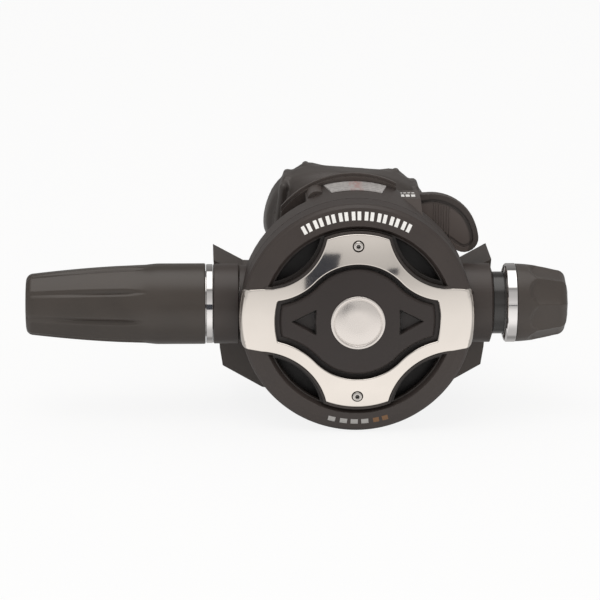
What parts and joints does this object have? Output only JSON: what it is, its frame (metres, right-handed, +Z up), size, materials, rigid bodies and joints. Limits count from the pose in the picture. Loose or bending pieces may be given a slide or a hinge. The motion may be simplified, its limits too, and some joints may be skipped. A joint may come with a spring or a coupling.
{
  "type": "scuba regulator second stage",
  "caption": "Balanced scuba second stage with purge button, effort knob, dive lever, mouthpiece, exhaust tee and a rubber sleeve over the hose end.",
  "frame": {"origin": "where the air barrel's axis crosses the axis of the round case", "axes": "+X along the air barrel towards the effort knob, -Y towards the purge button, +Z up"},
  "size_m": [0.1739, 0.0947, 0.0767],
  "materials": {
    "housing": "moulded satin black",
    "cover": "soft matt black",
    "plate": "satin polished",
    "screw": "turned",
    "button": "soft matt black",
    "badge": "satin",
    "white_plastic": "moulded",
    "silicone": "smooth silicone",
    "spring_steel": "drawn wire",
    "lever_steel": "pressed",
    "titanium": "turned titanium",
    "seal": "smooth seal",
    "brass": "turned",
    "chrome": "polished",
    "gland": "polished black",
    "grip": "soft matt black",
    "sleeve": "soft matt black",
    "label": "printed film",
    "mouth": "soft silicone"
  },
  "bodies": {
    "case": {"case_body": "housing", "cover_ring": "cover", "cover_plate": "plate", "cover_screws": "screw", "slip_ring": "white_plastic", "diaphragm": "silicone", "air_barrel": "titanium", "barrel_orings": "seal", "orifice": "brass", "orifice_oring": "seal", "adjuster_gland": "gland", "inlet_retainer": "housing", "swivel_nut": "chrome", "label_strip": "label", "spindle_oring": "seal", "exhaust_valve": "silicone", "exhaust_tee": "cover", "mouthpiece": "mouth", "mouthpiece_strap": "housing"},
    "button": {"purge_button": "button", "button_badge": "badge"},
    "diaphragm_plate": {"diaphragm_disc": "white_plastic"},
    "lever": {"demand_lever": "lever_steel"},
    "valve": {"poppet": "white_plastic", "poppet_seat": "seal", "poppet_spring": "spring_steel"},
    "adjuster": {"spring_pusher": "brass", "pusher_oring": "seal"},
    "knob": {"adjuster_stem": "lever_steel", "knob_ring": "chrome", "knob_core": "white_plastic", "knob_grip": "grip", "knob_screw": "screw"},
    "hose_end": {"hose_nipple": "brass", "nipple_oring": "seal"},
    "sleeve": {"hose_sleeve": "sleeve"},
    "dive_switch": {"dive_lever": "housing", "dive_spindle": "lever_steel"}
  },
  "joints": [
    {"name": "purge_press", "type": "slide", "parent": "case", "child": "button", "axis": [0, 1, 0], "range_m": [0, 0.0025], "stiffness_N_per_m": 1200, "springref_m": -0.001},
    {"name": "diaphragm_slide", "type": "slide", "parent": "case", "child": "diaphragm_plate", "axis": [0, 1, 0], "range_m": [0, 0.0025], "deforming": ["diaphragm"]},
    {"name": "lever_tilt", "type": "hinge", "parent": "case", "child": "lever", "pos_m": [-0.022, 0.003, 0], "axis": [0, 0, 1], "range_deg": [0, 6.61]},
    {"name": "poppet_slide", "type": "slide", "parent": "case", "child": "valve", "axis": [1, 0, 0], "range_m": [0, 0.0005]},
    {"name": "knob_travel", "type": "slide", "parent": "case", "child": "adjuster", "axis": [-1, 0, 0], "range_m": [0, 0.0025], "deforming": ["poppet_spring"]},
    {"name": "knob_turn", "type": "hinge", "parent": "adjuster", "child": "knob", "pos_m": [0.05, 0, 0], "axis": [-1, 0, 0], "range_deg": [0, 900]},
    {"name": "hose_swivel", "type": "hinge", "parent": "case", "child": "hose_end", "pos_m": [-0.0546, 0, 0], "axis": [1, 0, 0], "continuous": true},
    {"name": "sleeve_slide", "type": "slide", "parent": "hose_end", "child": "sleeve", "axis": [-1, 0, 0], "range_m": [0, 0.03]},
    {"name": "dive_turn", "type": "hinge", "parent": "case", "child": "dive_switch", "pos_m": [0.012, 0.021, 0.0276], "axis": [0, 0, 1], "range_deg": [0, 40]}
  ],
  "couplings": [
    {"joint": "diaphragm_slide", "follows": "purge_press", "ratio": 1},
    {"joint": "lever_tilt", "follows": "purge_press", "rad_per_m": 45.455},
    {"joint": "poppet_slide", "follows": "purge_press", "ratio": 0.2},
    {"joint": "knob_turn", "follows": "knob_travel", "rad_per_m": 6283.2}
  ]
}
